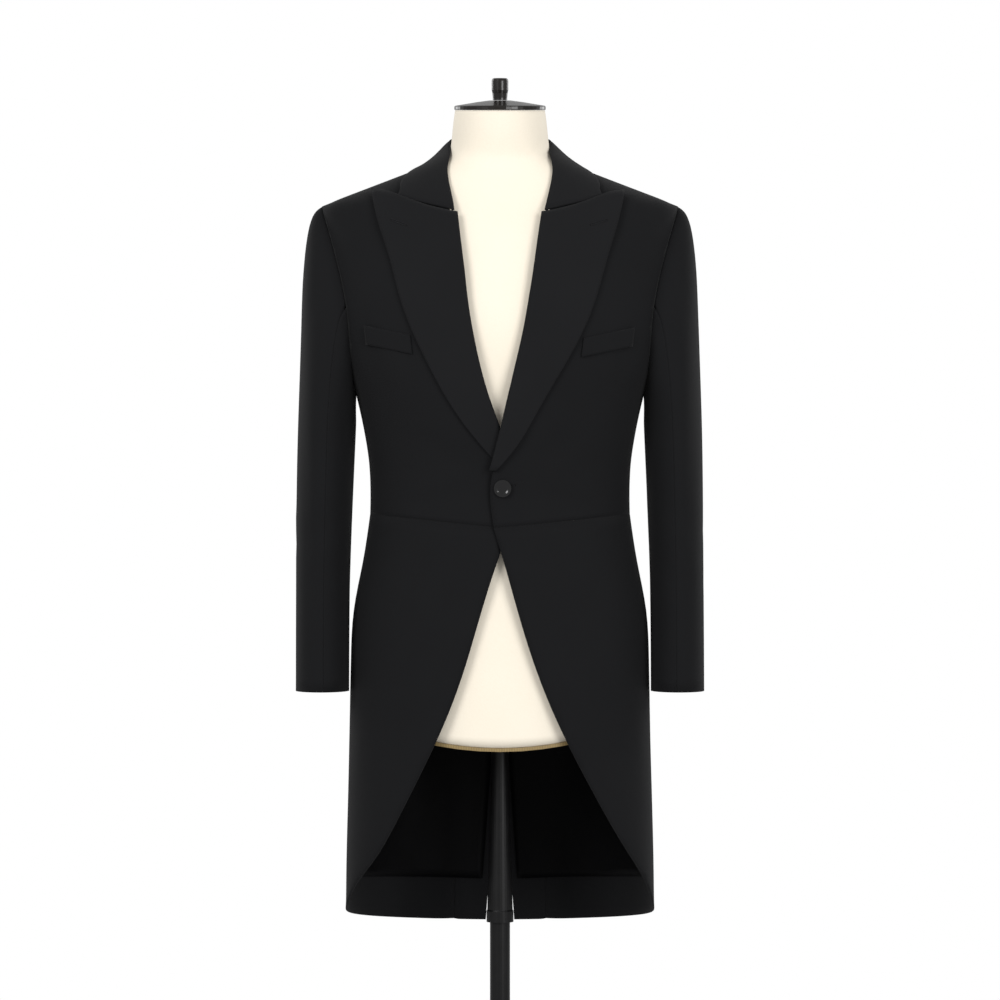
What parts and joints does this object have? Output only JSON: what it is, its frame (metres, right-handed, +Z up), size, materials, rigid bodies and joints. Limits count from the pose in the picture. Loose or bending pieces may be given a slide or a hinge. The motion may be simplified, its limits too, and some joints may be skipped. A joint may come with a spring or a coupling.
{
  "type": "morning coat on a limbless dress form with stand",
  "caption": "Single-breasted cutaway morning coat with peak lapels and tails, worn by a limbless canvas dress form on a pole with a round base",
  "frame": {"origin": "on the floor under the middle of the stand's base", "axes": "+Z up, +X to the wearer's left, -Y to the front"},
  "size_m": [0.5282, 0.4, 1.5705],
  "materials": {
    "wool": "fine wool twill",
    "lapel_wool": "fine wool twill",
    "lining": "satin",
    "button": "polished",
    "canvas": "plain linen canvas",
    "trim": "woven tape",
    "cap": "gloss",
    "stand_metal": "gloss"
  },
  "bodies": {
    "root": {"front_left": "wool", "side_body_left": "wool", "back_left": "wool", "skirt_left": "wool", "top_sleeve_left": "wool", "under_sleeve_left": "wool", "breast_welt_left": "wool", "lapel_left": "lapel_wool", "tail_lining_left": "lining", "back_button_left": "button", "front_right": "wool", "side_body_right": "wool", "back_right": "wool", "skirt_right": "wool", "top_sleeve_right": "wool", "under_sleeve_right": "wool", "breast_welt_right": "wool", "lapel_right": "lapel_wool", "tail_lining_right": "lining", "back_button_right": "button", "collar": "lapel_wool", "front_button": "button", "form_torso": "canvas", "form_trim": "trim", "neck_cap": "cap", "cap_knob": "cap", "pole_sleeve": "stand_metal", "pole": "stand_metal", "base": "stand_metal"}
  },
  "joints": []
}
